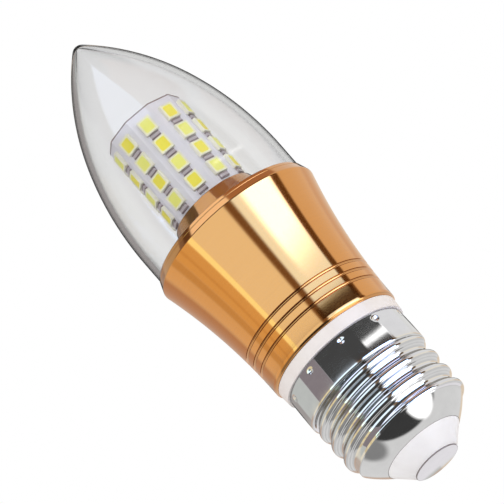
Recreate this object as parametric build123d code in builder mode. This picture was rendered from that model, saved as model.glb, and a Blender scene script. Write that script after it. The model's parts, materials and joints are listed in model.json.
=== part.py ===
from build123d import *
import math
import os

# LED candle bulb with a screw cap, in millimetres.
# The origin is the centre of the end contact's lower face, and +Z runs along the bulb's axis to the tip.

# End contact and insulator
contact_radius = 4.85
contact_thickness = 0.25
contact_edge = 0.1
rivet_radius = 1.5
rivet_bore_radius = 0.45
rivet_stand = 0.6
cone_height = 3.75
insulator_depth = 3.0

# Screw shell
shell_end_radius = 8.4
shell_wall = 0.4
shoulder_bow = 0.15
thread_root_radius = 12.15
thread_height = 1.05
thread_half_width = 1.45
thread_pitch = 3.629
thread_length = 11.9
thread_crest_width = 0.9
thread_root_sink = 0.25
thread_lead_in = 1.1
skirt_step_height = 0.75
skirt_foot_radius = 13.1
skirt_top_radius = 13.35
skirt_length = 6.75
dimple_count = 10
dimple_floor_radius = 0.4
dimple_taper = 50
dimple_depth = 0.28
dimple_below_edge = 1.4
dimple_turn = -84

# Plastic driver cup, with the white collar that shows between shell and housing
collar_overhang = 0.25
collar_inset = 0.4
collar_height = 2.55
cup_wall = 1.2
cup_height = 22.0
neck_gap = 1.0
rail_thickness = 1.2
rail_reach = 1.9
rail_stop = 1.0
wire_slot_width = 0.9
wire_slot_depth = 0.75

# Gold housing
housing_height = 31.4
housing_foot_radius = 14.15
housing_foot_chamfer = 0.6
housing_max_radius = 17.8
housing_wall = 1.15
flare_bow = 0.9
rim_bevel_width = 0.75
rim_bevel_height = 2.1
mouth_depth = 5.3
ledge_width = 1.1
bore_height = 12.0
groove_count = 3
groove_first_height = 4.5
groove_pitch = 2.0
groove_width = 0.7
groove_depth = 0.35

# Clear cover
cover_inset = 0.27
cover_wall = 1.2
cover_spigot_step = 0.9
cover_straight = 5.5
cover_bend_inset = 3.68
cover_bend_height = 27.0
cover_point_radius = 1.3
cover_point_height = 46.15

# Tower seat, the domed gold plate inside the cover
seat_thickness = 1.5
seat_flange = 3.3
seat_margin = 0.5
seat_height = 8.9
seat_hole_radius = 3.6
spigot_height = 2.0

# LED tower
tower_sides = 10
tower_apothem = 7.9
tower_height = 20.15
tower_turn = -87
board_thickness = 1.0
cap_thickness = 0.8
led_rows = 4
led_first_row = 3.47
led_last_row = 2.7
led_width = 2.9
led_length = 3.3
led_thickness = 0.7
led_lip = 0.15
led_pocket = 0.25
phosphor_sink = 0.05
resistor_width = 2.0
resistor_length = 1.05
resistor_thickness = 0.5

# Driver board and what is soldered to it
driver_width = 17.0
driver_length = 40.0
driver_thickness = 1.2
input_can_radius = 4.0
input_can_length = 9.0
input_can_height = 22.0
output_can_radius = 3.15
output_can_length = 7.0
output_can_height = 32.0
can_groove_depth = 0.3
can_groove_height = 1.3
can_groove_width = 0.6
choke_radius = 4.0
choke_core_radius = 2.2
choke_flange = 1.0
choke_length = 6.0
choke_height = 30.5
winding_radius = 3.6
bridge_width = 4.7
bridge_length = 3.8
bridge_thickness = 1.5
bridge_height = 15.0
bridge_side_legs = 2
chip_width = 3.9
chip_length = 4.9
chip_leg_pitch = 1.27
chip_side_legs = 4
chip_thickness = 1.5
chip_height = 22.5
leg_width = 0.5
leg_reach = 0.9
leg_thickness = 0.25
diode_width = 4.3
diode_length = 2.6
diode_thickness = 2.1
diode_height = 11.2
diode_side_legs = 1
fuse_radius = 1.6
fuse_length = 6.0
fuse_stand = 2.9
fuse_foot = 1.5
fuse_lead_radius = 0.35
lead_drop = 1.6
wire_radius = 0.35
led_wire_spacing = 4.0
led_wire_height = 37.5
shell_wire_stand = 3.4
shell_wire_height = 5.0
shell_wire_grip = 7.5

# Clearances
slip = 0.05
fit = 0.1

# Levels along the axis
shell_end = contact_thickness + cone_height
thread_foot = shell_end + thread_root_radius - shell_end_radius
thread_start = thread_foot + thread_lead_in
thread_rise = thread_length - thread_lead_in
thread_top = thread_foot + thread_length
skirt_foot = thread_top + skirt_step_height
shell_top = skirt_foot + skirt_length
collar_top = shell_top + collar_height
rim = collar_top + housing_height
ledge = rim - mouth_depth
seat_top = ledge + seat_thickness + seat_height
tower_top = seat_top + tower_height
led_row_pitch = (tower_height - led_first_row - led_last_row) / (led_rows - 1)
neck_foot = thread_foot + neck_gap
insulator_top = shell_end + insulator_depth

# Radii that follow from the pieces they fit
thread_bore = thread_root_radius - shell_wall
slant_wall = math.sqrt(2) * shell_wall
flange_radius = shell_end_radius + insulator_depth - slant_wall - fit
neck_radius = thread_bore - fit
neck_bore = neck_radius - cup_wall
waist_foot_radius = skirt_foot_radius - shell_wall - fit
waist_top_radius = skirt_top_radius - shell_wall - fit
collar_foot_radius = skirt_top_radius + collar_overhang
collar_top_radius = housing_foot_radius - collar_inset
housing_bore = housing_foot_radius - housing_wall
cup_radius = housing_bore - fit
cup_bore = cup_radius - cup_wall
rim_radius = housing_max_radius - rim_bevel_width
cover_radius = rim_radius - cover_inset
cover_bend_radius = cover_radius - cover_bend_inset
cover_spigot_radius = cover_radius - cover_spigot_step
mouth_radius = cover_spigot_radius + fit
ledge_radius = mouth_radius - ledge_width
seat_radius = mouth_radius - fit
seat_dome_foot_radius = seat_radius - seat_flange
seat_top_radius = tower_apothem / math.cos(math.pi / tower_sides) + seat_margin
board_apothem = tower_apothem - board_thickness
corner_turn = tower_turn + 180 / tower_sides

# Places on the driver board, whose middle plane holds the axis
board_face = driver_thickness / 2
board_foot = neck_foot + rail_stop + slip


def flare_radius(z):
    """Outer radius of the housing's flare, a single concave arc from its foot to its widest line."""
    foot_r = housing_foot_radius
    foot_z = collar_top + housing_foot_chamfer
    top_r = housing_max_radius
    top_z = rim - rim_bevel_height
    chord = math.hypot(top_r - foot_r, top_z - foot_z)
    arc_radius = chord**2 / (8 * flare_bow) + flare_bow / 2
    reach = arc_radius - flare_bow
    centre_r = (foot_r + top_r) / 2 + reach * (top_z - foot_z) / chord
    centre_z = (foot_z + top_z) / 2 - reach * (top_r - foot_r) / chord
    return centre_r - math.sqrt(arc_radius**2 - (z - centre_z) ** 2)


def ring_planes(radius, height, count, turn):
    """Planes round the axis at a radius and height, facing outwards, each with its y axis up."""
    planes = []
    for place in range(count):
        angle = math.radians(turn + place * 360 / count)
        outward = (math.cos(angle), math.sin(angle), 0)
        along = (-math.sin(angle), math.cos(angle), 0)
        origin = (radius * outward[0], radius * outward[1], height)
        planes.append(Plane(origin=origin, x_dir=along, z_dir=outward))
    return planes


def led_planes(first_side):
    """The planes of every LED, or of those of one colour: the two colours form a chequerboard."""
    planes = []
    for row in range(led_rows):
        height = seat_top + led_first_row + row * led_row_pitch
        for side, plane in enumerate(ring_planes(tower_apothem, height, tower_sides, tower_turn)):
            if first_side is None or (side + row) % 2 == first_side:
                planes.append(plane)
    return planes


def add_lead(points, radius):
    """Adds a component's stiff lead, bent square at its corners, to the part being built."""
    with BuildLine():
        route = Polyline(*points)
    with BuildSketch(Plane(origin=route @ 0, z_dir=route % 0)) as section:
        Circle(radius)
    sweep(section.sketch, path=route, transition=Transition.RIGHT)


def add_gull_legs(height, width, side_count, pitch):
    """Adds two rows of flat legs to a chip on the back of the driver board."""
    with BuildSketch(Plane.XZ.offset(board_face)) as feet:
        for end in (-1, 1):
            centre = end * (width + leg_reach) / 2
            with Locations((centre, height)):
                with GridLocations(0, pitch, 1, side_count):
                    Rectangle(leg_reach, leg_width)
    extrude(feet.sketch, amount=leg_thickness)


def save(builder, name):
    builder.part.label = name
    export_step(builder.part, f"parts/{name}.step")


os.makedirs("parts", exist_ok=True)

# End contact, a disc with a hollow rivet shank
with BuildPart() as contact_pin:
    with BuildSketch():
        Circle(contact_radius)
    extrude(amount=contact_thickness)
    chamfer(contact_pin.edges().group_by(Axis.Z)[0], contact_edge)
    with BuildSketch(Plane.XY.offset(contact_thickness)):
        Circle(rivet_radius)
    extrude(amount=insulator_top + rivet_stand - contact_thickness)
    with BuildSketch(Plane.XY.offset(contact_thickness)):
        Circle(rivet_bore_radius)
    extrude(amount=insulator_top + rivet_stand - contact_thickness, mode=Mode.SUBTRACT)
save(contact_pin, "contact_pin")

# White insulator: the cone that shows, and a flange behind the shell's turned-in end
with BuildPart() as base_insulator:
    with BuildSketch(Plane.XZ):
        with BuildLine():
            Polyline(
                (rivet_radius + slip, contact_thickness),
                (contact_radius, contact_thickness),
                (shell_end_radius - slip, shell_end),
                (shell_end_radius - slip, shell_end + slant_wall),
                (flange_radius, insulator_top),
                (rivet_radius + slip, insulator_top),
                close=True,
            )
        make_face()
    revolve(axis=Axis.Z)
save(base_insulator, "base_insulator")

# Section of the rolled thread, x outwards from the root
with BuildSketch() as thread_section:
    with BuildLine():
        upper_flank = Polyline(
            (thread_height, 0),
            (thread_height, thread_crest_width / 2),
            (0, thread_half_width),
            (-thread_root_sink, thread_half_width),
            (-thread_root_sink, 0),
        )
        mirror(upper_flank, about=Plane.XZ)
    make_face()

# Screw shell: slanted shoulder, rolled thread and a skirt staked to the collar with dimples
with BuildPart() as screw_shell:
    with BuildSketch(Plane.XZ):
        with BuildLine():
            SagittaArc((shell_end_radius, shell_end), (thread_root_radius, thread_foot), -shoulder_bow)
            Polyline(
                (thread_root_radius, thread_foot),
                (thread_root_radius, thread_top),
                (skirt_foot_radius, skirt_foot),
                (skirt_top_radius, shell_top),
                (0, shell_top),
                (0, shell_end),
                (shell_end_radius, shell_end),
            )
        make_face()
    revolve(axis=Axis.Z)
    dimple_height = shell_top - dimple_below_edge
    skirt_slope = (skirt_top_radius - skirt_foot_radius) / skirt_length
    dimple_floor = skirt_top_radius - skirt_slope * dimple_below_edge - dimple_depth
    dimple_planes = ring_planes(dimple_floor, dimple_height, dimple_count, dimple_turn)
    with BuildSketch(*dimple_planes):
        Circle(dimple_floor_radius)
    extrude(amount=2 * dimple_depth, taper=-dimple_taper, mode=Mode.SUBTRACT)
    with BuildLine():
        thread_path = Helix(thread_pitch, thread_rise, thread_root_radius, center=(0, 0, thread_start))
    thread_ends = []
    for place, side in ((0, -1), (1, 1)):
        point = thread_path @ place
        outward = Vector(point.X, point.Y, 0).normalized()
        thread_ends.append(Plane(origin=point, x_dir=outward, z_dir=side * (thread_path % place)))
    with BuildSketch(-thread_ends[0]):
        add(thread_section.sketch)
    sweep(path=thread_path, is_frenet=True)
    for plane in thread_ends:
        with BuildSketch(plane):
            add(thread_section.sketch)
            split(bisect_by=Plane.XZ)
        revolve(axis=Axis(plane.origin, plane.x_dir), revolution_arc=180)
    with BuildSketch(Plane.XZ):
        with BuildLine():
            Polyline(
                (shell_end_radius, shell_end + slant_wall),
                (thread_bore, shell_end + slant_wall + thread_bore - shell_end_radius),
                (thread_bore, thread_top),
                (skirt_foot_radius - shell_wall, skirt_foot),
                (skirt_top_radius - shell_wall, shell_top),
                (0, shell_top),
                (0, shell_end),
                (shell_end_radius, shell_end),
                close=True,
            )
        make_face()
    revolve(axis=Axis.Z, mode=Mode.SUBTRACT)
save(screw_shell, "screw_shell")

# Driver cup: neck inside the shell, white collar, and the cup that lines the housing
rail_inner = driver_width / 2 - rail_reach
rail_outer = neck_bore + cup_wall / 2
rail_offset = board_face + slip + rail_thickness / 2
with BuildPart() as driver_cup:
    with BuildSketch(Plane.XZ):
        with BuildLine():
            Polyline(
                (neck_bore, neck_foot),
                (neck_radius, neck_foot),
                (neck_radius, thread_top),
                (waist_foot_radius, skirt_foot + slip),
                (waist_top_radius, shell_top),
                (collar_foot_radius, shell_top),
                (collar_top_radius, collar_top),
                (cup_radius, collar_top),
                (cup_radius, collar_top + cup_height),
                (cup_bore, collar_top + cup_height),
                (cup_bore, collar_top),
                (waist_top_radius - cup_wall, shell_top),
                (waist_foot_radius - cup_wall, skirt_foot),
                (neck_bore, thread_top),
                close=True,
            )
        make_face()
    revolve(axis=Axis.Z)
    with BuildSketch(Plane.XY.offset(neck_foot)):
        for end in (-1, 1):
            for face in (-1, 1):
                with Locations((end * (rail_inner + rail_outer) / 2, face * rail_offset)):
                    Rectangle(rail_outer - rail_inner, rail_thickness)
    extrude(amount=thread_top - neck_foot)
    with BuildSketch(Plane.XY.offset(neck_foot)):
        for end in (-1, 1):
            with Locations((end * (rail_inner + rail_outer) / 2, 0)):
                Rectangle(rail_outer - rail_inner, 2 * rail_offset)
    extrude(amount=rail_stop)
    with BuildSketch(Plane.XY.offset(neck_foot)):
        with Locations((0, neck_radius)):
            Rectangle(wire_slot_width, 2 * wire_slot_depth)
    extrude(amount=shell_wire_grip + wire_slot_width, mode=Mode.SUBTRACT)
save(driver_cup, "driver_cup")

# Gold housing: a turned flare with three grooves, a bevelled rim and a stepped mouth
with BuildPart() as housing:
    with BuildSketch(Plane.XZ):
        with BuildLine():
            foot = Polyline(
                (housing_bore, collar_top),
                (housing_foot_radius - housing_foot_chamfer, collar_top),
                (housing_foot_radius, collar_top + housing_foot_chamfer),
            )
            widest = (housing_max_radius, rim - rim_bevel_height)
            SagittaArc(foot @ 1, widest, flare_bow)
            Polyline(
                widest,
                (rim_radius, rim),
                (mouth_radius, rim),
                (mouth_radius, ledge),
                (ledge_radius, ledge),
                (housing_bore, collar_top + bore_height),
                (housing_bore, collar_top),
            )
        make_face()
    revolve(axis=Axis.Z)
    with BuildSketch(Plane.XZ):
        for groove in range(groove_count):
            height = collar_top + groove_first_height + groove * groove_pitch
            face = flare_radius(height)
            with BuildLine():
                Polyline(
                    (face - groove_depth, height),
                    (face + groove_depth, height - groove_width),
                    (face + groove_depth, height + groove_width),
                    close=True,
                )
            make_face()
    revolve(axis=Axis.Z, mode=Mode.SUBTRACT)
save(housing, "housing")

# Tower seat: a plate on the housing's ledge that rises in a dome to the tower's foot
seat_plate_top = ledge + seat_thickness
with BuildPart() as tower_seat:
    with BuildSketch(Plane.XZ):
        with BuildLine():
            plate = Polyline(
                (seat_top_radius, ledge),
                (seat_radius, ledge),
                (seat_radius, seat_plate_top),
                (seat_dome_foot_radius, seat_plate_top),
            )
            spigot_radius = board_apothem - fit
            Polyline(
                plate @ 1,
                (seat_top_radius, seat_top),
                (spigot_radius, seat_top),
                (spigot_radius, seat_top + spigot_height),
                (seat_hole_radius, seat_top + spigot_height),
                (seat_hole_radius, seat_top - seat_thickness),
                (seat_top_radius - seat_thickness, seat_top - seat_thickness),
                (seat_top_radius, ledge),
            )
        make_face()
    revolve(axis=Axis.Z)
save(tower_seat, "tower_seat")

# Clear cover: straight foot, two long tangent arcs and a rounded tip, shelled from below
with BuildPart() as clear_cover:
    cover_foot = seat_plate_top + fit
    with BuildSketch(Plane.XZ):
        with BuildLine():
            side = Polyline(
                (0, cover_foot),
                (cover_spigot_radius, cover_foot),
                (cover_spigot_radius, rim),
                (cover_radius, rim),
                (cover_radius, rim + cover_straight),
            )
            lower = TangentArc(side @ 1, (cover_bend_radius, rim + cover_bend_height), tangent=(0, 1))
            upper = TangentArc(lower @ 1, (cover_point_radius, rim + cover_point_height), tangent=lower % 1)
            slope = upper % 1
            tip_ball = cover_point_radius / slope.Y
            tip = rim + cover_point_height + tip_ball * (1 + slope.X)
            TangentArc(upper @ 1, (0, tip), tangent=slope)
            Line((0, tip), side @ 0)
        make_face()
    revolve(axis=Axis.Z)
    cover_mouth = clear_cover.faces().sort_by(Axis.Z)[0]
    offset(amount=-cover_wall, openings=cover_mouth, kind=Kind.INTERSECTION)
save(clear_cover, "clear_cover")

# LED tower: a folded ten-sided board and its lid
with BuildPart() as led_board:
    with BuildSketch(Plane.XY.offset(seat_top)):
        RegularPolygon(tower_apothem, tower_sides, major_radius=False, rotation=corner_turn)
        RegularPolygon(
            board_apothem, tower_sides, major_radius=False, rotation=corner_turn, mode=Mode.SUBTRACT
        )
    extrude(amount=tower_height)
save(led_board, "led_board")

with BuildPart() as tower_lid:
    with BuildSketch(Plane.XY.offset(tower_top)):
        RegularPolygon(tower_apothem, tower_sides, major_radius=False, rotation=corner_turn)
    extrude(amount=cap_thickness)
save(tower_lid, "tower_lid")

# LED packages: white frames with a sunk window, and the phosphor that fills each window
with BuildPart() as led_frames:
    with BuildSketch(*led_planes(None)):
        Rectangle(led_width, led_length)
    extrude(amount=led_thickness)
    with BuildSketch(*[plane.offset(led_thickness - led_pocket) for plane in led_planes(None)]):
        Rectangle(led_width - 2 * led_lip, led_length - 2 * led_lip)
    extrude(amount=led_pocket, mode=Mode.SUBTRACT)
save(led_frames, "led_frames")

for first_side, name in ((1, "cool_phosphors"), (0, "warm_phosphors")):
    with BuildPart() as phosphors:
        with BuildSketch(*[plane.offset(led_thickness - led_pocket) for plane in led_planes(first_side)]):
            Rectangle(led_width - 2 * led_lip, led_length - 2 * led_lip)
        extrude(amount=led_pocket - phosphor_sink)
    save(phosphors, name)

with BuildPart() as chip_resistors:
    with BuildSketch(*led_planes(None)):
        with Locations((0, -led_row_pitch / 2)):
            Rectangle(resistor_width, resistor_length)
    extrude(amount=resistor_thickness)
save(chip_resistors, "chip_resistors")

# Driver board, upright in the cup's rails
with BuildPart() as driver_board:
    with BuildSketch(Plane.XY.offset(board_foot)):
        Rectangle(driver_width, driver_thickness)
    extrude(amount=driver_length)
save(driver_board, "driver_board")


def capacitor(name, radius, length, height):
    """An electrolytic can that stands on the front of the board, with the crimped groove near its foot."""
    level = board_foot + height
    spans = [
        (0, can_groove_height, radius),
        (can_groove_height, can_groove_width, radius - can_groove_depth),
        (can_groove_height + can_groove_width, length - can_groove_height - can_groove_width, radius),
    ]
    with BuildPart() as can:
        for start, span, span_radius in spans:
            with BuildSketch(Plane.XZ.offset(-board_face - start)):
                with Locations((0, level)):
                    Circle(span_radius)
            extrude(amount=-span)
    save(can, name)


capacitor("input_capacitor", input_can_radius, input_can_length, input_can_height)
capacitor("output_capacitor", output_can_radius, output_can_length, output_can_height)

# Choke: a ferrite bobbin on the back of the board, and its copper winding
choke_level = board_foot + choke_height
choke_spans = [
    (board_face, choke_flange, choke_radius),
    (board_face + choke_flange, choke_length - 2 * choke_flange, choke_core_radius),
    (board_face + choke_length - choke_flange, choke_flange, choke_radius),
]
with BuildPart() as choke_core:
    for start, length, radius in choke_spans:
        with BuildSketch(Plane.XZ.offset(start)):
            with Locations((0, choke_level)):
                Circle(radius)
        extrude(amount=length)
save(choke_core, "choke_core")

with BuildPart() as choke_winding:
    with BuildSketch(Plane.XZ.offset(board_face + choke_flange)):
        with Locations((0, choke_level)):
            Circle(winding_radius)
            Circle(choke_core_radius, mode=Mode.SUBTRACT)
    extrude(amount=choke_length - 2 * choke_flange)
save(choke_winding, "choke_winding")


def back_chip(name, width, length, thickness, height, legs):
    """A moulded chip on the back of the board, with a row of legs, given as (count, pitch), at each side."""
    level = board_foot + height
    with BuildPart() as chip:
        with BuildSketch(Plane.XZ.offset(board_face)):
            with Locations((0, level)):
                Rectangle(width, length)
        extrude(amount=thickness)
        add_gull_legs(level, width, *legs)
    save(chip, name)


bridge_pitch = bridge_length - 2 * leg_width
bridge_legs = (bridge_side_legs, bridge_pitch)
back_chip("bridge_rectifier", bridge_width, bridge_length, bridge_thickness, bridge_height, bridge_legs)
chip_legs = (chip_side_legs, chip_leg_pitch)
back_chip("driver_chip", chip_width, chip_length, chip_thickness, chip_height, chip_legs)
diode_legs = (diode_side_legs, 0)
back_chip("diode", diode_width, diode_length, diode_thickness, diode_height, diode_legs)

# Fuse resistor: an axial body beside the board, from the end contact's rivet to the board
fuse_low = board_foot + fuse_foot
fuse_high = fuse_low + fuse_length
fuse_y = -board_face - fuse_stand
rivet_top = insulator_top + rivet_stand
with BuildPart() as fuse_resistor:
    with BuildSketch(Plane(origin=(0, fuse_y, fuse_low), z_dir=(0, 0, 1))):
        Circle(fuse_radius)
    extrude(amount=fuse_length)
    bend_level = (board_foot + rivet_top) / 2
    lower_lead = [
        (0, 0, contact_thickness),
        (0, 0, bend_level),
        (0, fuse_y, bend_level),
        (0, fuse_y, fuse_low),
    ]
    add_lead(lower_lead, fuse_lead_radius)
    upper_level = fuse_high + lead_drop
    upper_lead = [
        (0, fuse_y, fuse_high),
        (0, fuse_y, upper_level),
        (0, -board_face, upper_level),
    ]
    add_lead(upper_lead, fuse_lead_radius)
save(fuse_resistor, "fuse_resistor")

# Shell wire: from the board round the neck's foot, gripped between neck and shell
wire_track = thread_bore - slip - wire_radius
under_neck = neck_foot - slip - wire_radius
wire_level = board_foot + shell_wire_height
with BuildPart() as shell_wire:
    shell_route = [
        (0, board_face, wire_level),
        (0, board_face + shell_wire_stand, wire_level),
        (0, board_face + shell_wire_stand, under_neck),
        (0, wire_track, under_neck),
        (0, wire_track, neck_foot + shell_wire_grip),
    ]
    add_lead(shell_route, wire_radius)
save(shell_wire, "shell_wire")

# Two wires from the back of the driver board straight up through the seat to the tower's lid
for end, name in ((-1, "led_wire_negative"), (1, "led_wire_positive")):
    wire_foot = (end * led_wire_spacing / 2, -board_face - wire_radius, board_foot + led_wire_height)
    with BuildPart() as led_wire:
        with BuildSketch(Plane(origin=wire_foot, z_dir=(0, 0, 1))):
            Circle(wire_radius)
        extrude(amount=tower_top - wire_foot[2])
    save(led_wire, name)
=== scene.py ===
import json
import math

import bpy
from mathutils import Matrix, Vector


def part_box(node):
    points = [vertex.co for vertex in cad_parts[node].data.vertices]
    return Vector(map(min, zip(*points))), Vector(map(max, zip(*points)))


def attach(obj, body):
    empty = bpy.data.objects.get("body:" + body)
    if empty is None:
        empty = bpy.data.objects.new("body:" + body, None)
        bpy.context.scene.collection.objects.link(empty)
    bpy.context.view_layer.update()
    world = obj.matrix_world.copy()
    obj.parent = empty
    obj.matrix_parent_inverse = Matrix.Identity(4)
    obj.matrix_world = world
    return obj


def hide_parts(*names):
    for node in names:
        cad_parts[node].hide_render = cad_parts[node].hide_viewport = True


# Looks of the LED candle bulb: sizes are in millimetres, angles in degrees
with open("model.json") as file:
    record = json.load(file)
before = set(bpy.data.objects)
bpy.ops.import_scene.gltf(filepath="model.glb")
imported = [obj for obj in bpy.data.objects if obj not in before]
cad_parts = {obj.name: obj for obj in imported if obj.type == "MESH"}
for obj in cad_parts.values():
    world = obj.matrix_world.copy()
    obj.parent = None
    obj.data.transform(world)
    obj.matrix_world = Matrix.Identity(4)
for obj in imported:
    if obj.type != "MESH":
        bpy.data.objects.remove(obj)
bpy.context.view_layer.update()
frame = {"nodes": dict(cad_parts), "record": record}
MM = 0.001


def node_box(node):
    """Lowest and highest corner of a CAD node, in millimetres."""
    low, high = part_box(node)
    return low / MM, high / MM


# Levels and radii read from the frame
shell_low, shell_high = node_box("screw_shell")
housing_low, housing_high = node_box("housing")
cover_low, cover_high = node_box("clear_cover")
seat_low, seat_high = node_box("tower_seat")
lid_low, lid_high = node_box("tower_lid")
cone_low, cone_high = node_box("base_insulator")
contact_low, contact_high = node_box("contact_pin")
shell_end = shell_low.z
shell_top = shell_high.z
housing_foot = housing_low.z
rim = housing_high.z
housing_radius = housing_high.x
cover_radius = cover_high.x
seat_radius = seat_high.x
ledge = seat_low.z
tower_foot = node_box("led_board")[0].z

# Clearances
slip = 0.05
fit = 0.1

# Screw shell: the thread grows and fades over the angles of its run-in and run-out, and within its clear
# height it fades into the shoulder
shell_end_radius = 8.4
shell_wall = 0.4
shoulder_bow = 0.15
thread_root_radius = 12.15
thread_height = 1.05
thread_pitch = 3.629
thread_lead_in = 1.1
thread_rise = 10.8
thread_run_in = 150
thread_run_out = 35
thread_clear = 0.5
skirt_step_height = 0.75
skirt_foot_radius = 13.31
skirt_bend_radius = 13.235
skirt_top_radius = 13.15
skirt_bend_height = 4.2
skirt_bore_foot = 12.7
skirt_bore_top = 12.95
edge_round = 0.12
dimple_count = 10
dimple_turn = -84
dimple_reach = 0.75
dimple_depth = 0.3
dimple_below_edge = 1.4

# Gold housing
foot_radius = 14.15
foot_bevel = 0.6
foot_bow = 0.1
flare_bow = 0.9
housing_wall = 1.15
bore_height = 12.0
ledge_width = 1.1
rim_bevel_width = 0.75
rim_bevel_height = 2.1
rim_edge_round = 0.18
rim_line_below = 0.75
rim_line_width = 0.18
rim_line_depth = 0.06
groove_count = 3
groove_first_height = 4.5
groove_pitch = 2.0
groove_width = 0.7
groove_depth = 0.35

# Clear cover
cover_wall = 1.2
spigot_step = 0.9
cover_straight = 5.5
bend_inset = 3.68
bend_height = 27.0
point_radius = 1.3
point_height = 46.15

# Tower seat
seat_thickness = 1.5
seat_flange = 3.3
seat_margin = 0.5
seat_hole_radius = 3.6
seat_edge_round = 0.3

# LED tower
tower_sides = 10
tower_apothem = 7.9
tower_turn = -87
board_thickness = 1.0
lid_edge = 0.22
lid_edge_stand = 0.05
led_rows = 4
led_first_row = 3.47
led_row_pitch = 4.66
led_size = (2.9, 3.3, 0.7)
led_corner = 0.12
led_bevel = 0.06
led_lip = 0.15
led_pocket = 0.25
window_corner = 0.35
resin_gap = 0.02
resin_sink = 0.04
resin_border = 0.28
chip_size = (2.0, 1.05, 0.5)
chip_cap = 0.27
chip_bevel = 0.05
chip_corner = 0.04

# End contact and white cone
contact_radius = 4.85
contact_edge = 0.1
cone_edge = 0.15
rivet_radius = 1.5

# Mesh fineness, and the angles from which an edge stays sharp
segments = 288
arc_steps = 8
thread_step = 0.11
skirt_step = 0.14
flare_step = 0.5
sharp_angle = 30
shell_sharp_angle = 40
cover_sharp_angle = 35

# Finishes: detail of the grain, then the clear cover's refraction, the share of lamp light that it lets
# through, and its smoke
grain_detail = 4.0
cover_ior = 1.49
cover_lamp_share = 0.97
smoke_grey = 0.5
smoke_density = 160.0

# Camera: the photo looks at the bulb from below, with its axis leaning across the picture
photo_pixels = 504
pixels_per_mm = 5.40
view_elevation = -19.0
axis_lean = 41.0244
view_height = 54.65
view_offset = -0.30
camera_distance = 3000.0
sensor_width = 36.0

# Light: the level of the room round the bulb, and the share that a second reflection loses
room_level = 0.95
second_loss = 0.5
studio_wall = (0.88, 0.88, 0.90)
lamp_distance = 600.0
area_size = 400.0
spot_radius = 40.0
spot_softness = 0.5
tower_reach = 20.0
cone_reach = 12.0

# Lamps: azimuth, elevation and watts
key_lamp = (50, 20, 0.6)
fill_lamp = (-60, -10, 0.4)
tower_lamp = (5, -12, 8.5)
cone_lamp = (30, -40, 10.0)

# Floor
floor_drop = 0.2
floor_half = 1500.0
floor_grey = 0.9
floor_roughness = 0.8


def new_material(name):
    """A node material, its tree and its Principled shader."""
    material = bpy.data.materials.new(name)
    material.use_nodes = True
    tree = material.node_tree
    return material, tree, tree.nodes["Principled BSDF"]


def add_node(tree, kind, **settings):
    """A new node in a tree, with its settings made."""
    node = tree.nodes.new(kind)
    for key, value in settings.items():
        setattr(node, key, value)
    return node


def stretched_noise(tree, grain):
    """Noise in the object's own space, with the length of its grain along each axis."""
    coordinates = add_node(tree, "ShaderNodeTexCoord")
    mapping = add_node(tree, "ShaderNodeMapping")
    mapping.inputs["Scale"].default_value = [1 / (MM * length) for length in grain]
    tree.links.new(coordinates.outputs["Object"], mapping.inputs["Vector"])
    noise = add_node(tree, "ShaderNodeTexNoise")
    noise.inputs["Scale"].default_value = 1.0
    noise.inputs["Detail"].default_value = grain_detail
    tree.links.new(mapping.outputs["Vector"], noise.inputs["Vector"])
    return noise.outputs["Fac"]


def drive_range(tree, value, socket, low, high):
    """Feeds a 0 to 1 value into a socket as a range."""
    spread = add_node(tree, "ShaderNodeMapRange")
    spread.inputs["To Min"].default_value = low
    spread.inputs["To Max"].default_value = high
    tree.links.new(value, spread.inputs["Value"])
    tree.links.new(spread.outputs["Result"], socket)


def drive_colour(tree, value, socket, low, high):
    """Feeds a 0 to 1 value into a colour socket as a blend of two colours."""
    blend = add_node(tree, "ShaderNodeMix", data_type="RGBA")
    blend.inputs["A"].default_value = (*low, 1)
    blend.inputs["B"].default_value = (*high, 1)
    tree.links.new(value, blend.inputs["Factor"])
    tree.links.new(blend.outputs["Result"], socket)


def drive_bump(tree, value, shader, height):
    """Raises the surface by a 0 to 1 value times a height in millimetres."""
    bump = add_node(tree, "ShaderNodeBump")
    bump.inputs["Distance"].default_value = height * MM
    tree.links.new(value, bump.inputs["Height"])
    tree.links.new(bump.outputs["Normal"], shader.inputs["Normal"])


def grained(name, low, high, roughness, grain, bump, metallic, coat):
    """A surface whose colour, gloss and height vary with a grain of its own."""
    material, tree, shader = new_material(name)
    shader.inputs["Metallic"].default_value = metallic
    shader.inputs["Coat Weight"].default_value = coat
    value = stretched_noise(tree, grain)
    drive_colour(tree, value, shader.inputs["Base Color"], low, high)
    drive_range(tree, value, shader.inputs["Roughness"], *roughness)
    drive_bump(tree, value, shader, bump)
    return material


def metal(name, low, high, roughness, grain, bump, coat=0.0):
    """Polished metal, bare or under a clear coat."""
    return grained(name, low, high, roughness, grain, bump, 1.0, coat)


def moulded(name, low, high, roughness, grain, bump):
    """Moulded plastic, board, resin or ceramic with an even grain."""
    return grained(name, low, high, roughness, (grain, grain, grain), bump, 0.0, 0.0)


def grey(level):
    """An opaque grey for a colour socket."""
    return (level, level, level, 1)


def let_through(tree, shader, where, share):
    """Lets a share of the light straight through a surface where a 0 or 1 value says so."""
    opening = add_node(tree, "ShaderNodeBsdfTransparent")
    opening.inputs["Color"].default_value = grey(share)
    either = add_node(tree, "ShaderNodeMixShader")
    tree.links.new(where, either.inputs["Fac"])
    tree.links.new(shader.outputs["BSDF"], either.inputs[1])
    tree.links.new(opening.outputs["BSDF"], either.inputs[2])
    tree.links.new(either.outputs["Shader"], tree.nodes["Material Output"].inputs["Surface"])


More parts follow.
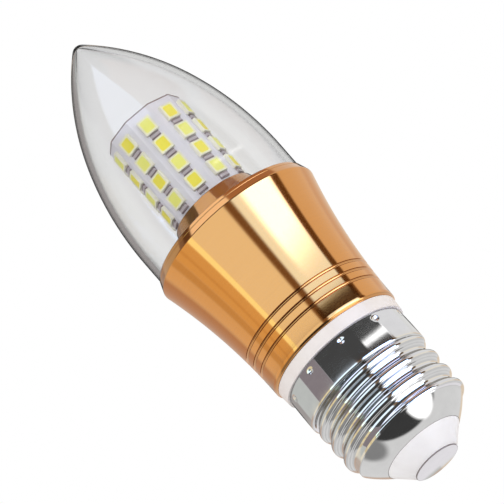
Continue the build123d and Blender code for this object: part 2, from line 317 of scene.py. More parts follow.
def clear_plastic():
    """Clear moulding, faintly smoky in its thickness, that lets lamps through to the tower."""
    material, tree, shader = new_material("clear_plastic")
    shader.inputs["Base Color"].default_value = grey(1.0)
    shader.inputs["Transmission Weight"].default_value = 1.0
    shader.inputs["Roughness"].default_value = 0.0
    shader.inputs["IOR"].default_value = cover_ior
    path = add_node(tree, "ShaderNodeLightPath")
    let_through(tree, shader, path.outputs["Is Shadow Ray"], cover_lamp_share)
    smoke = add_node(tree, "ShaderNodeVolumeAbsorption")
    smoke.inputs["Color"].default_value = grey(smoke_grey)
    smoke.inputs["Density"].default_value = smoke_density
    tree.links.new(smoke.outputs["Volume"], tree.nodes["Material Output"].inputs["Volume"])
    return material


# Metals: two colours that the grain blends, roughness from and to, grain along each axis, bump and, on the
# gold alone, the clear coat's weight
metals = {
    "nickel": ((0.72, 0.71, 0.71), (0.80, 0.80, 0.79), (0.03, 0.08), (2.5, 2.5, 1.2), 0.0012),
    "gold_aluminium": ((0.66, 0.30, 0.085), (0.72, 0.335, 0.10), (0.07, 0.11), (9, 9, 0.12), 0.0005, 0.6),
    "copper": ((0.72, 0.30, 0.14), (0.82, 0.40, 0.22), (0.18, 0.30), (6, 0.3, 6), 0.03),
}

# Other finishes: two colours that the grain blends, roughness from and to, grain and bump
mouldings = {
    "white_insulator": ((0.93, 0.90, 0.90), (0.96, 0.94, 0.94), (0.28, 0.38), 1.5, 0.004),
    # The white plastic is white; its warm pink tint is painted light reflected from the gold housing
    "white_plastic": ((0.75, 0.69, 0.67), (0.80, 0.75, 0.73), (0.25, 0.35), 1.5, 0.004),
    "white_board": ((0.77, 0.76, 0.82), (0.82, 0.81, 0.87), (0.40, 0.55), 0.8, 0.004),
    "led_package": ((0.90, 0.88, 0.72), (0.93, 0.92, 0.80), (0.40, 0.50), 0.4, 0.002),
    "cool_phosphor": ((0.94, 0.94, 0.16), (0.96, 0.96, 0.30), (0.35, 0.50), 0.25, 0.006),
    "warm_phosphor": ((0.97, 0.84, 0.05), (0.98, 0.90, 0.13), (0.35, 0.50), 0.25, 0.006),
    "pale_resin": ((0.95, 0.93, 0.58), (0.97, 0.95, 0.68), (0.35, 0.50), 0.25, 0.004),
    "chip_body": ((0.48, 0.43, 0.45), (0.58, 0.53, 0.55), (0.40, 0.60), 0.3, 0.004),
    # The next finish paints a dark reflection on the chips' tinned ends
    "solder": ((0.20, 0.15, 0.16), (0.30, 0.24, 0.25), (0.35, 0.50), 0.3, 0.006),
    # The next finish is the dark band round the lid's top edge
    "dark_lid_band": ((0.22, 0.15, 0.15), (0.32, 0.25, 0.25), (0.45, 0.60), 0.4, 0.004),
    # The next finish is painted shade, a dark band in the gaps at the cone's and the contact's outer edges
    "painted_gap_shade": ((0.20, 0.17, 0.17), (0.30, 0.26, 0.26), (0.40, 0.55), 0.4, 0.004),
    "green_board": ((0.02, 0.16, 0.06), (0.05, 0.24, 0.10), (0.25, 0.40), 1.2, 0.01),
    "black_epoxy": ((0.02, 0.02, 0.02), (0.04, 0.04, 0.04), (0.45, 0.60), 0.3, 0.006),
    "can_sleeve": ((0.02, 0.03, 0.07), (0.05, 0.06, 0.12), (0.20, 0.30), 2.0, 0.004),
    "ferrite": ((0.05, 0.05, 0.05), (0.09, 0.09, 0.09), (0.50, 0.70), 0.5, 0.01),
    "resistor_coat": ((0.25, 0.48, 0.50), (0.35, 0.58, 0.60), (0.25, 0.35), 0.8, 0.01),
    "black_wire": ((0.02, 0.02, 0.02), (0.04, 0.04, 0.04), (0.35, 0.45), 0.5, 0.004),
    "red_wire": ((0.45, 0.03, 0.02), (0.58, 0.05, 0.04), (0.35, 0.45), 0.5, 0.004),
}
looks = {"clear_plastic": clear_plastic()}
for name, finish in metals.items():
    looks[name] = metal(name, *finish)
for name, finish in mouldings.items():
    looks[name] = moulded(name, *finish)
slots = {part["node"]: part["material_slot"] for part in frame["record"]["subparts"]}
for node, slot in slots.items():
    frame["nodes"][node].data.materials[0] = looks[slot]


def arc(start, end, bow, steps):
    """Points from start to end on an arc whose middle lies bow to the right of the chord, or to its left
    where bow is negative."""
    start = Vector(start)
    end = Vector(end)
    chord = end - start
    half = chord.length / 2
    radius = (half * half + bow * bow) / (2 * bow)
    right = Vector((chord.y, -chord.x)).normalized()
    centre = (start + end) / 2 - right * (radius - bow)
    sweep = math.copysign(2 * math.atan2(half, abs(radius) - abs(bow)), bow)
    first = start - centre
    points = []
    for step in range(steps + 1):
        turn = Matrix.Rotation(sweep * step / steps, 2)
        points.append(centre + turn @ first)
    return points


def tangent_arc(start, heading, end, steps):
    """Points from start, leaving along heading, on an arc to end, and the heading there."""
    start = Vector(start)
    end = Vector(end)
    heading = Vector(heading).normalized()
    chord = end - start
    lean = math.atan2(heading.x * chord.y - heading.y * chord.x, heading.dot(chord))
    bow = chord.length / 2 * math.tan(lean / 2)
    ending = Matrix.Rotation(2 * lean, 2) @ heading
    return arc(start, end, bow, steps), ending


def rounded(corners):
    """A closed outline from (x, y, radius) corners, each rounded by its radius."""
    points = []
    for place, (x, y, radius) in enumerate(corners):
        corner = Vector((x, y))
        before = Vector(corners[place - 1][:2]) - corner
        after = Vector(corners[(place + 1) % len(corners)][:2]) - corner
        if radius == 0:
            points.append(corner)
            continue
        half_angle = before.angle(after) / 2
        cut = radius / math.tan(half_angle)
        start = corner + before.normalized() * cut
        end = corner + after.normalized() * cut
        bow = radius * (1 - math.sin(half_angle))
        side = before.x * after.y - before.y * after.x
        points += arc(start, end, math.copysign(bow, -side), arc_steps)
    return points


def make_piece(name, vertices, faces, node, sharp=sharp_angle, extra=None, picks=None):
    """A piece of the bulb from a mesh in millimetres, in place of a CAD node and with its finish.
    extra is a second finish, and picks tells which faces take it."""
    mesh = bpy.data.meshes.new(name)
    mesh.from_pydata([Vector(vertex) * MM for vertex in vertices], [], faces)
    mesh.materials.append(looks[slots[node]])
    if extra:
        mesh.materials.append(looks[extra])
        for polygon, picked in zip(mesh.polygons, picks):
            polygon.material_index = int(picked)
    for polygon in mesh.polygons:
        polygon.use_smooth = True
    mesh.set_sharp_from_angle(angle=math.radians(sharp))
    piece = bpy.data.objects.new(name, mesh)
    bpy.context.scene.collection.objects.link(piece)
    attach(piece, "root")
    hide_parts(node)


def lathe_mesh(profile, bend=None):
    """Vertices and faces of a closed (radius, height) profile turned round the axis.
    bend gives the radius at a place on the profile and an angle."""
    vertices = []
    rings = []
    for radius, height in profile:
        if radius == 0:
            rings.append([len(vertices)] * segments)
            vertices.append((0, 0, height))
            continue
        rings.append(range(len(vertices), len(vertices) + segments))
        for step in range(segments):
            angle = 2 * math.pi * step / segments
            reach = bend(radius, height, angle) if bend else radius
            vertices.append((reach * math.cos(angle), reach * math.sin(angle), height))
    faces = []
    for place, lower in enumerate(rings):
        upper = rings[(place + 1) % len(rings)]
        for step in range(segments):
            after = (step + 1) % segments
            corners = [lower[step], lower[after], upper[after], upper[step]]
            face = list(dict.fromkeys(corners))
            if len(face) > 2:
                faces.append(face)
    return vertices, faces


def band_picks(faces, first, last):
    """Picks the faces of a lathe mesh between two places on its profile."""
    return [first * segments <= face < last * segments for face in range(len(faces))]


def joined(meshes):
    """Vertices and faces of several meshes in one."""
    vertices = []
    faces = []
    for more_vertices, more_faces in meshes:
        first = len(vertices)
        vertices += more_vertices
        faces += [[corner + first for corner in face] for face in more_faces]
    return vertices, faces


def smooth_step(value):
    """A smooth rise from 0 to 1, level below and above."""
    value = min(max(value, 0.0), 1.0)
    return value * value * (3 - 2 * value)


# Screw shell, with a rolled thread of equal crest and root arcs
thread_foot = shell_end + thread_root_radius - shell_end_radius
thread_start = thread_foot + thread_lead_in
thread_top = thread_start + thread_rise
thread_bore = thread_root_radius - shell_wall
slant_wall = math.sqrt(2) * shell_wall
skirt_foot = thread_top + skirt_step_height
quarter_pitch = thread_pitch / 4
flank = 2 * math.atan2(thread_height / 2, quarter_pitch)
roll_radius = quarter_pitch / math.sin(flank)
run_in = math.radians(thread_run_in)
run_out = math.radians(thread_run_out)
thread_turns = thread_rise / thread_pitch
dimple_height = shell_top - dimple_below_edge
dimple_spacing = 360 / dimple_count
quarter_bow = 1 - math.sqrt(0.5)


def rolled_height(distance):
    """Height of the thread over its root, at a distance along the axis from the crest."""
    distance = abs(distance)
    if distance >= 2 * quarter_pitch:
        return 0.0
    if distance <= quarter_pitch:
        return thread_height - roll_radius + math.sqrt(roll_radius**2 - distance**2)
    return roll_radius - math.sqrt(roll_radius**2 - (2 * quarter_pitch - distance) ** 2)


def shell_radius(radius, height, angle):
    """Radius of the shell's outside: the lathe profile, plus the thread, less the staking dimples."""
    raised = 0.0
    for turn in range(-1, math.ceil(thread_turns) + 1):
        travelled = angle + 2 * math.pi * turn
        left = 2 * math.pi * thread_turns - travelled
        grown = smooth_step(1 + travelled / run_in) * smooth_step(1 + left / run_out)
        crest = thread_start + thread_pitch * travelled / (2 * math.pi)
        raised = max(raised, grown * rolled_height(height - crest))
    raised *= smooth_step((height - thread_foot) / thread_clear)
    aside = (math.degrees(angle) - dimple_turn) % dimple_spacing
    aside = min(aside, dimple_spacing - aside)
    distance = math.hypot(math.radians(aside) * radius, height - dimple_height)
    sunk = dimple_depth * smooth_step(1 - distance / dimple_reach)
    return max(radius, min(radius, thread_root_radius) + raised) - sunk


def even_steps(start, end, gap):
    """Points on a straight run from start to end, about gap apart, without the last."""
    count = max(1, round((end - start).length / gap))
    return [start.lerp(end, step / count) for step in range(count)]


def open_lathe(profile, bend=None):
    """A lathe mesh without the band from the profile's end back to its start."""
    vertices, faces = lathe_mesh(profile, bend)
    return vertices, faces[:-segments]


# The skirt bellies out a little towards its foot, and an S-shaped step joins it to the thread
shoulder_top = Vector((thread_root_radius, thread_foot))
thread_end = Vector((thread_root_radius, thread_top))
skirt_start = Vector((skirt_foot_radius, skirt_foot))
bend_top = Vector((skirt_bend_radius, skirt_foot + skirt_bend_height))
skirt_end = Vector((skirt_top_radius, shell_top - edge_round))
skirt_bend = tangent_arc(bend_top, bend_top - skirt_end, skirt_start, 3 * arc_steps)[0]
step_middle = (thread_end + skirt_start) / 2
lower_step, step_way = tangent_arc(thread_end, (0, 1), step_middle, arc_steps)
upper_step = tangent_arc(step_middle, step_way, skirt_start, arc_steps)[0]
edge_end = (skirt_top_radius - edge_round, shell_top)
outside = arc((shell_end_radius, shell_end), shoulder_top, shoulder_bow, 3 * arc_steps)[:-1]
outside += even_steps(shoulder_top, thread_end, thread_step)
outside += lower_step[:-1] + upper_step[:-1] + skirt_bend[:0:-1]
outside += even_steps(bend_top, skirt_end, skirt_step)
outside += arc(skirt_end, edge_end, edge_round * quarter_bow, arc_steps)
inside = [
    (skirt_bore_top, shell_top),
    (skirt_bore_foot, skirt_foot),
    (thread_bore, thread_top),
    (thread_bore, shell_end + slant_wall + thread_bore - shell_end_radius),
    (shell_end_radius, shell_end + slant_wall),
]
outer_mesh = open_lathe(outside, shell_radius)
shell_vertices, shell_faces = joined([outer_mesh, open_lathe(inside)])
inner_top = len(outer_mesh[0])
outer_top = inner_top - segments
inner_foot = len(shell_vertices) - segments
for step in range(segments):
    after = (step + 1) % segments
    shell_faces.append([outer_top + step, outer_top + after, inner_top + after, inner_top + step])
    shell_faces.append([inner_foot + step, inner_foot + after, after, step])
make_piece("rolled_shell", shell_vertices, shell_faces, "screw_shell", sharp=shell_sharp_angle)

# Gold housing, with softened edges and one fine line turned in its bevelled rim
foot_low = Vector((foot_radius - foot_bevel, housing_foot))
foot_high = Vector((foot_radius, housing_foot + foot_bevel))
widest = Vector((housing_radius, rim - rim_bevel_height))
rim_edge = Vector((housing_radius - rim_bevel_width, rim))
housing_bore = foot_radius - housing_wall
mouth_radius = cover_radius - spigot_step + fit


def flare_point(height):
    """Point of the flare at a height, on the arc through its foot and its widest line."""
    chord = widest - foot_high
    reach = (chord.length / 2) ** 2 / (2 * flare_bow) - flare_bow / 2
    outward = Vector((chord.y, -chord.x)).normalized()
    centre = (foot_high + widest) / 2 + outward * reach
    return Vector((centre.x - math.sqrt((reach + flare_bow) ** 2 - (height - centre.y) ** 2), height))


def flare_run(low, high):
    """Points up the flare between two heights, without the last."""
    count = max(2, round((high - low) / flare_step))
    return [flare_point(low + (high - low) * step / count) for step in range(count)]


housing_profile = arc(foot_low, foot_high, foot_bow, arc_steps)[:-1]
run_start = foot_high.y
for groove in range(groove_count):
    middle = housing_foot + groove_first_height + groove * groove_pitch
    low = middle - groove_width / 2
    high = middle + groove_width / 2
    housing_profile += flare_run(run_start, low)
    housing_profile += arc(flare_point(low), flare_point(high), -groove_depth, arc_steps)[:-1]
    run_start = high
flare_end = flare_point(widest.y - rim_edge_round)
bevel_way = (rim_edge - widest).normalized()
bevel_start = widest + bevel_way * rim_edge_round
bevel_end = rim_edge - bevel_way * rim_edge_round
line_high = rim_edge - bevel_way * rim_line_below
line_low = line_high - bevel_way * rim_line_width
rim_flat = rim_edge - Vector((rim_edge_round, 0))
housing_profile += flare_run(run_start, flare_end.y)
housing_profile += tangent_arc(flare_end, widest - flare_end, bevel_start, arc_steps)[0]
housing_profile += arc(line_low, line_high, -rim_line_depth, arc_steps)
housing_profile += tangent_arc(bevel_end, bevel_way, rim_flat, arc_steps)[0]
housing_profile += [
    (mouth_radius, rim),
    (mouth_radius, ledge),
    (mouth_radius - ledge_width, ledge),
    (housing_bore, housing_foot + bore_height),
    (housing_bore, housing_foot),
]
make_piece("gold_housing", *lathe_mesh(housing_profile), "housing")

# Clear cover, with its wall
spigot_radius = cover_radius - spigot_step
bend_end = (cover_radius - bend_inset, rim + bend_height)
point_start = (point_radius, rim + point_height)
lower, bend_way = tangent_arc((cover_radius, rim + cover_straight), (0, 1), bend_end, 5 * arc_steps)
upper, point_way = tangent_arc(lower[-1], bend_way, point_start, 5 * arc_steps)
tip = tangent_arc(upper[-1], point_way, (0, cover_high.z), 2 * arc_steps)[0]
dome = lower + upper[1:] + tip[1:-1]
inner_dome = []
for place, point in enumerate(dome[:-1]):
    heading = (dome[place + 1] - dome[max(place - 1, 0)]).normalized()
    inner = point + Vector((-heading.y, heading.x)) * cover_wall
    if inner.x > slip:
        inner_dome.append(inner)
cover_profile = [(spigot_radius, cover_low.z), (spigot_radius, rim), (cover_radius, rim)]
cover_profile += dome + [(0, cover_high.z), (0, inner_dome[-1].y)] + inner_dome[::-1]
cover_profile += [
    (cover_radius - cover_wall, rim),
    (spigot_radius - cover_wall, rim),
    (spigot_radius - cover_wall, cover_low.z),
]
make_piece("candle_cover", *lathe_mesh(cover_profile), "clear_cover", sharp=cover_sharp_angle)

# White cone and end contact, with softened edges and a dark band of painted shade in the gap along each
# one's outer edge
cone_profile = rounded(
    [
        (rivet_radius, cone_low.z, 0),
        (contact_radius, cone_low.z, cone_edge),
        (shell_end_radius - slip, shell_end, cone_edge),
        (shell_end_radius - slip, cone_high.z, 0),
        (rivet_radius, cone_high.z, 0),
    ]
)
cone_mesh = lathe_mesh(cone_profile)
cone_picks = band_picks(cone_mesh[1], arc_steps + 2, 2 * arc_steps + 2)
make_piece("white_cone", *cone_mesh, "base_insulator", extra="painted_gap_shade", picks=cone_picks)
contact_profile = rounded(
    [
        (0, contact_low.z, 0),
        (contact_radius, contact_low.z, contact_edge),
        (contact_radius, cone_low.z, 0),
        (rivet_radius, cone_low.z, 0),
        (rivet_radius, contact_high.z, contact_edge),
        (0, contact_high.z, 0),
    ]
)
contact_mesh = lathe_mesh(contact_profile)
contact_picks = band_picks(contact_mesh[1], 1, arc_steps + 2)
make_piece("end_contact", *contact_mesh, "contact_pin", extra="painted_gap_shade", picks=contact_picks)

# Tower seat: a plate on the housing's ledge that rises to a softened edge at the tower's foot
seat_plate_top = ledge + seat_thickness
seat_under = tower_foot - seat_thickness
seat_top_radius = tower_apothem / math.cos(math.pi / tower_sides) + seat_margin
seat_spigot_radius = tower_apothem - board_thickness - fit
seat_profile = rounded(
    [
        (seat_top_radius, ledge, 0),
        (seat_radius, ledge, 0),
        (seat_radius, seat_plate_top, 0),
        (seat_radius - seat_flange, seat_plate_top, 0),
        (seat_top_radius, tower_foot, seat_edge_round),
        (seat_spigot_radius, tower_foot, 0),
        (seat_spigot_radius, seat_high.z, 0),
        (seat_hole_radius, seat_high.z, 0),
        (seat_hole_radius, seat_under, 0),
        (seat_top_radius - seat_thickness, seat_under, 0),
    ]
)
make_piece("gold_seat", *lathe_mesh(seat_profile), "tower_seat")


square_corners = [(-1, -1), (1, -1), (1, 1), (-1, 1)]


def rounded_rectangle(width, length, radius):
    """A rounded rectangle's outline, anticlockwise round its centre."""
    return rounded([(x * width / 2, y * length / 2, radius) for x, y in square_corners])


def decagon(apothem):
    """The tower's outline at an apothem, anticlockwise."""
    reach = apothem / math.cos(math.pi / tower_sides)
    turns = [math.radians(tower_turn + 360 * (side + 0.5) / tower_sides) for side in range(tower_sides)]
    return [(reach * math.cos(turn), reach * math.sin(turn)) for turn in turns]


def loft(outlines):
    """Vertices and faces of a block through (outline, height) levels, closed at both ends."""
    count = len(outlines[0][0])
    vertices = []
    faces = []
    for outline, height in outlines:
        vertices += [(x, y, height) for x, y in outline]
    for level in range(len(outlines) - 1):
        for step in range(count):
            after = (step + 1) % count
            low = level * count
            faces.append([low + step, low + after, low + count + after, low + count + step])
    faces.append(list(reversed(range(count))))
    faces.append(list(range((len(outlines) - 1) * count, len(outlines) * count)))
    return vertices, faces


def tower_places(parity=None, drop=0.0):
    """Places on the tower's faces for every LED, or for those of one colour, x along and z out."""
    places = []
    for row in range(led_rows):
        height = tower_foot + led_first_row + row * led_row_pitch - drop
        for side in range(tower_sides):
            if parity is None or (side + row) % 2 == parity:
                turn = Matrix.Rotation(math.radians(tower_turn + 360 * side / tower_sides), 4, "Z")
                stand = Matrix(((0, 0, 1, tower_apothem), (1, 0, 0, 0), (0, 1, 0, height), (0, 0, 0, 1)))
                places.append(turn @ stand)
    return places


def copies(block, places):
    """Vertices and faces of a block repeated at places."""
    return joined([([place @ Vector(vertex) for vertex in block[0]], block[1]) for place in places])


# Tower lid, white with a dark band round its top edge
lid_levels = [
    (decagon(tower_apothem), lid_low.z),
    (decagon(tower_apothem), lid_high.z - lid_edge),
    (decagon(tower_apothem + lid_edge_stand), lid_high.z - lid_edge),
    (decagon(tower_apothem + lid_edge_stand), lid_high.z),
    (decagon(tower_apothem - lid_edge), lid_high.z),
]
lid_block = loft(lid_levels)
lid_edge_end = (len(lid_levels) - 1) * tower_sides
lid_picks = [tower_sides <= face < lid_edge_end for face in range(len(lid_block[1]))]
make_piece("edged_lid", *lid_block, "tower_lid", extra="dark_lid_band", picks=lid_picks)

# LED packages with sunk windows, and the resin in them, paler along its border
led_width, led_length, led_height = led_size
window = (led_width - 2 * led_lip, led_length - 2 * led_lip)
pocket_floor = led_height - led_pocket
led_outline = rounded_rectangle(led_width, led_length, led_corner)
led_top = rounded_rectangle(led_width - led_bevel, led_length - led_bevel, led_corner)
window_outline = rounded_rectangle(*window, window_corner)
led_block = loft(
    [
        (led_outline, 0),
        (led_outline, led_height - led_bevel),
        (led_top, led_height),
        (window_outline, led_height),
        (window_outline, pocket_floor),
    ]
)
make_piece("led_packages", *copies(led_block, tower_places()), "led_frames")


def resin_outline(inset):
    """The window's outline, drawn in all round."""
    return rounded_rectangle(window[0] - 2 * inset, window[1] - 2 * inset, window_corner)


resin_block = loft(
    [
        (resin_outline(resin_gap), pocket_floor + resin_gap),
        (resin_outline(resin_gap), led_height - resin_sink),
        (resin_outline(resin_border), led_height - resin_sink),
        (resin_outline(2 * resin_border), led_height - resin_sink / 2),
    ]
)
border_faces = 2 * len(window_outline)
resin_picks = [face < border_faces for face in range(len(resin_block[1]))]
for name, node, parity in (("cool_windows", "cool_phosphors", 1), ("warm_windows", "warm_phosphors", 0)):
    places = tower_places(parity)
    picks = resin_picks * len(places)
    make_piece(name, *copies(resin_block, places), node, extra="pale_resin", picks=picks)

# Chip resistors with soldered ends above and below, whose dark colour is a painted reflection of the dark
# studio
chip_width, chip_length, chip_height = chip_size
chip_places = tower_places(drop=led_row_pitch / 2)
body_length = chip_length - 2 * chip_cap
body_outline = rounded_rectangle(chip_width - chip_bevel, body_length, chip_corner)
body_top = rounded_rectangle(chip_width - 3 * chip_bevel, body_length, chip_corner)
cap_outline = rounded_rectangle(chip_width, chip_cap, chip_corner)
cap_top = rounded_rectangle(chip_width - 2 * chip_bevel, chip_cap - 2 * chip_bevel, chip_corner)
shelf = chip_height - chip_bevel
body_block = loft([(body_outline, 0), (body_outline, shelf), (body_top, chip_height - chip_bevel / 2)])
cap_block = loft([(cap_outline, 0), (cap_outline, shelf), (cap_top, chip_height)])
cap_slide = (chip_length - chip_cap) / 2
cap_slides = [Matrix.Translation((0, end * cap_slide, 0)) for end in (-1, 1)]
chip_bodies = copies(body_block, chip_places)
chip_caps = copies(cap_block, [place @ slide for slide in cap_slides for place in chip_places])
chip_picks = [False] * len(chip_bodies[1]) + [True] * len(chip_caps[1])
chip_mesh = joined([chip_bodies, chip_caps])
make_piece("tower_chips", *chip_mesh, "chip_resistors", extra="solder", picks=chip_picks)

# Pale floor that shows from above only and lets the lamps through, to leave the view from below open
floor_mesh = bpy.data.meshes.new("floor")
floor_points = [Vector((x * floor_half, y * floor_half, -floor_drop)) * MM for x, y in square_corners]
floor_mesh.from_pydata(floor_points, [], [[0, 1, 2, 3]])
floor = bpy.data.objects.new("floor", floor_mesh)
bpy.context.scene.collection.objects.link(floor)
floor.visible_glossy = False
floor_look, floor_tree, floor_shader = new_material("pale_floor")
floor_shader.inputs["Base Color"].default_value = grey(floor_grey)
floor_shader.inputs["Roughness"].default_value = floor_roughness
from_below = add_node(floor_tree, "ShaderNodeNewGeometry")
floor_path = add_node(floor_tree, "ShaderNodeLightPath")
open_way = add_node(floor_tree, "ShaderNodeMath", operation="MAXIMUM")
floor_tree.links.new(from_below.outputs["Backfacing"], open_way.inputs[0])
floor_tree.links.new(floor_path.outputs["Is Shadow Ray"], open_way.inputs[1])
let_through(floor_tree, floor_shader, open_way.outputs["Value"], 1.0)
floor_mesh.materials.append(floor_look)

# Studio seen in the metal, later cards over earlier ones: azimuth from, to, elevation from, to, softness
# across and up, and colour, with azimuth 0 in front and 90 on the right
cards = {
    "left_wall": (-200, -86, -90, 91, 4, 4, (0.62, 0.64, 0.62)),
    "far_left": (-200, -118, -13.5, 18.4, 12, 1, (0.62, 0.47, 0.38)),
    "warm_wall": (-118, -90, -18, 18.4, 12, 1, (0.96, 0.88, 0.72)),
    "brown_post": (-92, -80, -18, 18.4, 5, 1, (0.78, 0.64, 0.40)),
    "amber_wall": (-80, -52, -18, 18.4, 5, 1, (0.95, 0.80, 0.48)),
    "amber_post": (-70, -66, -18, 18.4, 3, 1, (0.84, 0.67, 0.38)),
    "bright_post": (-53, -45, -18, 18.4, 2, 1, (1.50, 1.95, 1.65)),
    "front_wall": (-45, 8, -18, 18.4, 2, 1, (1.16, 1.40, 1.62)),
    "right_wall": (86, 134, -18, 18.4, 6, 1, (0.95, 0.90, 0.80)),
    "far_right": (134, 200, -13.5, 18.4, 12, 1, (0.82, 0.68, 0.53)),
    "gap": (8, 88, -18, 18.9, 6, 1, (0.24, 0.16, 0.10)),
    "softbox": (19, 78, -18, 15.4, 5, 1.5, (1.3, 2.0, 3.2)),
    "softbox_core": (34, 76, -18, 6, 12, 10, (4.6, 5.0, 8.0)),
    "gap_right": (77.5, 88, -18, 18.9, 3, 1, (0.16, 0.09, 0.04)),
    "left_screen": (-86, -42, 18.4, 52, 2, 1, (0.29, 0.25, 0.265)),
    "black_flag": (-42, 84, 18.6, 52, 1, 0.6, (0.07, 0.07, 0.07)),
    "flag_foot": (12, 84, 15.6, 18.7, 2, 0.8, (0.06, 0.03, 0.015)),
    "small_panel": (36, 86, 19.8, 20.9, 4, 0.5, (1.75, 1.75, 1.75)),
    "roof": (-181, 181, 52, 91, 6, 6, (0.20, 0.20, 0.20)),
    "top_panel": (-58, 25, 49, 91, 5, 5, (1.3, 1.45, 1.8)),
    "panel_edge": (-75, -58, 42, 60, 4, 4, (0.15, 0.10, 0.08)),
    "red_corner": (25, 110, 40, 76, 6, 6, (0.50, 0.34, 0.28)),
    "back_right": (136, 163, 18.4, 46, 6, 1, (0.85, 0.85, 0.84)),
    "back_left": (-163, -136, 18.4, 46, 6, 1, (0.42, 0.39, 0.38)),
    "dark_right": (161, 200, 18.5, 48, 4, 0.6, (0.08, 0.08, 0.08)),
    "dark_left": (-200, -161, 18.5, 48, 4, 0.6, (0.08, 0.08, 0.08)),
    "pale_right": (150, 200, -91, -15, 6, 2, (0.92, 0.90, 0.94)),
    "pale_left": (-200, -150, -91, -15, 6, 2, (0.92, 0.90, 0.94)),
}

# Cards under the bulb, placed by the way a surface has to face to mirror them into the photo's view: turn
# from, to, tilt downwards from, to, softness of both, and colour
low_cards = {
    "flank_left": (-91, -48, 17, 62, 10, 3, (0.66, 0.66, 0.66)),
    "flank_screen": (-50, -22, 17, 62, 4, 3, (0.32, 0.32, 0.32)),
    "flank_front": (-22, 9, 17, 62, 2, 3, (0.07, 0.07, 0.07)),
    "flank_bright": (9, 43, 17, 62, 3, 3, (2.7, 2.9, 3.2)),
    "flank_right": (43, 91, 17, 62, 6, 3, (0.70, 0.70, 0.70)),
    "shoulder": (-91, 91, 37, 53, 10, 2, (0.80, 0.80, 0.80)),
}

# Oval cards that the shoulder mirrors: turn and tilt of the middle, half width and height, softness, grey
oval_cards = {
    "shoulder_left": (-41, 41, 14, 7, 0.6, 0.28),
    "shoulder_dark": (6, 38, 35, 10.5, 0.12, 0.05),
    "shoulder_bright": (24, 39, 14, 8.5, 0.35, 2.0),
}
world = bpy.data.worlds.new("studio")
bpy.context.scene.world = world
world.use_nodes = True
sky = world.node_tree
sky_way = add_node(sky, "ShaderNodeTexCoord")
sky_axes = add_node(sky, "ShaderNodeSeparateXYZ")
sky.links.new(sky_way.outputs["Generated"], sky_axes.inputs["Vector"])


def sky_math(operation, first, second=None):
    """A math node in the world, from sockets or numbers."""
    node = add_node(sky, "ShaderNodeMath", operation=operation)
    for socket, value in zip(node.inputs, (first, second)):
        if isinstance(value, (int, float)):
            socket.default_value = value
        elif value is not None:
            sky.links.new(value, socket)
    return node.outputs["Value"]


def ramp(value, low, high):
    """1 above high, 0 below low, smooth between, and the other way round if low is above high."""
    node = add_node(sky, "ShaderNodeMapRange", interpolation_type="SMOOTHSTEP")
    rising = low < high
    node.inputs["From Min"].default_value = min(low, high)
    node.inputs["From Max"].default_value = max(low, high)
    node.inputs["To Min"].default_value = 0.0 if rising else 1.0
    node.inputs["To Max"].default_value = 1.0 if rising else 0.0
    sky.links.new(value, node.inputs["Value"])
    return node.outputs["Result"]


def band(value, low, high, softness):
    """1 between low and high, 0 outside, smooth across each end."""
    up = ramp(value, low - softness / 2, low + softness / 2)
    down = ramp(value, high + softness / 2, high - softness / 2)
    return sky_math("MULTIPLY", up, down)


minus_y = sky_math("MULTIPLY", sky_axes.outputs["Y"], -1.0)
azimuth = sky_math("DEGREES", sky_math("ARCTAN2", sky_axes.outputs["X"], minus_y))
elevation = sky_math("DEGREES", sky_math("ARCSINE", sky_axes.outputs["Z"]))

# The way that a surface faces where it mirrors a direction of the sky into the photo's view
view_lift = math.radians(view_elevation)
forward = Vector((0, math.cos(view_lift), -math.sin(view_lift)))
between = add_node(sky, "ShaderNodeVectorMath", operation="SUBTRACT")
sky.links.new(sky_way.outputs["Generated"], between.inputs[0])
between.inputs[1].default_value = forward
facing = add_node(sky, "ShaderNodeVectorMath", operation="NORMALIZE")
sky.links.new(between.outputs["Vector"], facing.inputs[0])
facing_axes = add_node(sky, "ShaderNodeSeparateXYZ")
sky.links.new(facing.outputs["Vector"], facing_axes.inputs["Vector"])
facing_front = sky_math("MULTIPLY", facing_axes.outputs["Y"], -1.0)
facing_down = sky_math("MULTIPLY", facing_axes.outputs["Z"], -1.0)
facing_turn = sky_math("DEGREES", sky_math("ARCTAN2", facing_axes.outputs["X"], facing_front))
facing_tilt = sky_math("DEGREES", sky_math("ARCSINE", facing_down))


def blend_colours(factor, first, second):
    """A colour mix in the world, from sockets or colours."""
    node = add_node(sky, "ShaderNodeMix", data_type="RGBA")
    sky.links.new(factor, node.inputs["Factor"])
    for name, value in (("A", first), ("B", second)):
        if isinstance(value, tuple):
            node.inputs[name].default_value = (*value, 1)
        else:
            sky.links.new(value, node.inputs[name])
    return node.outputs["Result"]


def lay_card(under, sideways, upwards, card):
    """The studio's colours with a card laid over them, placed by two angles."""
    west, east, first, last, soft_sideways, soft_upwards, colour = card
    width = band(sideways, west, east, soft_sideways)
    height = band(upwards, first, last, soft_upwards)
    return blend_colours(sky_math("MULTIPLY", width, height), under, colour)


def lay_oval(under, turn, tilt, half_width, half_height, softness, level):
    """The studio's colours with an oval grey card laid over them."""
    sideways = sky_math("DIVIDE", sky_math("SUBTRACT", facing_turn, turn), half_width)
    upwards = sky_math("DIVIDE", sky_math("SUBTRACT", facing_tilt, tilt), half_height)
    width_square = sky_math("MULTIPLY", sideways, sideways)
    height_square = sky_math("MULTIPLY", upwards, upwards)
    distance = sky_math("SQRT", sky_math("ADD", width_square, height_square))
    oval = ramp(distance, 1 + softness / 2, 1 - softness / 2)
    return blend_colours(oval, under, (level, level, level))


studio = studio_wall
for card in cards.values():
    studio = lay_card(studio, azimuth, elevation, card)
for card in low_cards.values():
    studio = lay_card(studio, facing_turn, facing_tilt, card)
for card in oval_cards.values():
    studio = lay_oval(studio, *card)

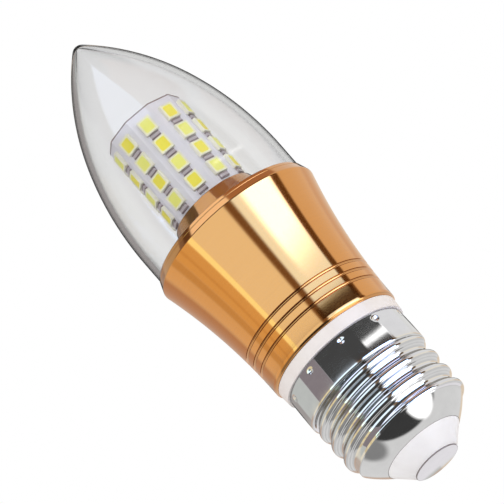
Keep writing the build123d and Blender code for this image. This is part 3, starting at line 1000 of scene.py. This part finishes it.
# White where the view passes the bulb or goes straight through its cover, the studio where it is mirrored,
# dimmer where it is mirrored twice, as between the thread's flanks, and a plain room for all other light;
# a ray that reaches the sky counts one step more than its bounces
past_first = 1.5
sky_path = add_node(sky, "ShaderNodeLightPath")
shown = sky_math("MAXIMUM", sky_path.outputs["Is Camera Ray"], sky_path.outputs["Is Transmission Ray"])
steps = sky_math("SUBTRACT", sky_path.outputs["Ray Depth"], sky_path.outputs["Transmission Depth"])
straight = sky_math("MULTIPLY", shown, sky_math("LESS_THAN", steps, past_first))
mirrored = sky_math("MINIMUM", sky_path.outputs["Glossy Depth"], 1.0)
again = sky_math("GREATER_THAN", sky_path.outputs["Glossy Depth"], past_first)
twice = sky_math("MULTIPLY", again, second_loss)
dimmed = blend_colours(twice, studio, (0.0, 0.0, 0.0))
in_metal = blend_colours(mirrored, (room_level, room_level, room_level), dimmed)
sky_colour = blend_colours(straight, in_metal, (1.0, 1.0, 1.0))
sky.links.new(sky_colour, sky.nodes["Background"].inputs["Color"])


def add_lamp(name, kind, azimuth_angle, elevation_angle, power, aim):
    """A lamp that aims at a height on the bulb's axis; the studio's cards stand for it in the metal."""
    lamp_data = bpy.data.lights.new(name, kind)
    lamp_data.energy = power
    lamp = bpy.data.objects.new(name, lamp_data)
    bpy.context.scene.collection.objects.link(lamp)
    turn = math.radians(azimuth_angle)
    lift = math.radians(elevation_angle)
    toward = Vector((math.sin(turn) * math.cos(lift), -math.cos(turn) * math.cos(lift), math.sin(lift)))
    lamp.location = Vector((0, 0, aim * MM)) + toward * lamp_distance * MM
    lamp.rotation_mode = "QUATERNION"
    lamp.rotation_quaternion = (-toward).to_track_quat("-Z", "Y")
    lamp.visible_glossy = False
    return lamp_data


def add_area(name, azimuth_angle, elevation_angle, power):
    """A broad lamp that aims at the middle of the view."""
    area = add_lamp(name, "AREA", azimuth_angle, elevation_angle, power, view_height)
    area.size = area_size * MM


def add_spot(name, azimuth_angle, elevation_angle, power, aim, reach):
    """A lamp with a soft edge that lights only what lies within its reach round the aim."""
    spot = add_lamp(name, "SPOT", azimuth_angle, elevation_angle, power, aim)
    spot.spot_size = 2 * math.atan2(reach, lamp_distance)
    spot.spot_blend = spot_softness
    spot.shadow_soft_size = spot_radius * MM


add_area("key", *key_lamp)
add_area("fill", *fill_lamp)
add_spot("tower_spot", *tower_lamp, (tower_foot + lid_high.z) / 2, tower_reach)
add_spot("cone_spot", *cone_lamp, (cone_low.z + cone_high.z) / 2, cone_reach)

# Camera
lean = math.radians(axis_lean)
frame_width = photo_pixels / pixels_per_mm
camera_data = bpy.data.cameras.new("photo_view")
camera_data.sensor_width = sensor_width
camera_data.lens = sensor_width * camera_distance / frame_width
camera = bpy.data.objects.new("photo_view", camera_data)
bpy.context.scene.collection.objects.link(camera)
level_right = Vector((1, 0, 0))
level_up = level_right.cross(forward)
picture_right = level_right * math.cos(lean) - level_up * math.sin(lean)
picture_up = level_right * math.sin(lean) + level_up * math.cos(lean)
target = Vector((view_offset, 0, view_height)) * MM
camera_place = Matrix((picture_right, picture_up, -forward)).transposed().to_4x4()
camera_place.translation = target - forward * camera_distance * MM
camera.matrix_world = camera_place
bpy.context.scene.camera = camera
bpy.context.scene.view_settings.view_transform = "Standard"
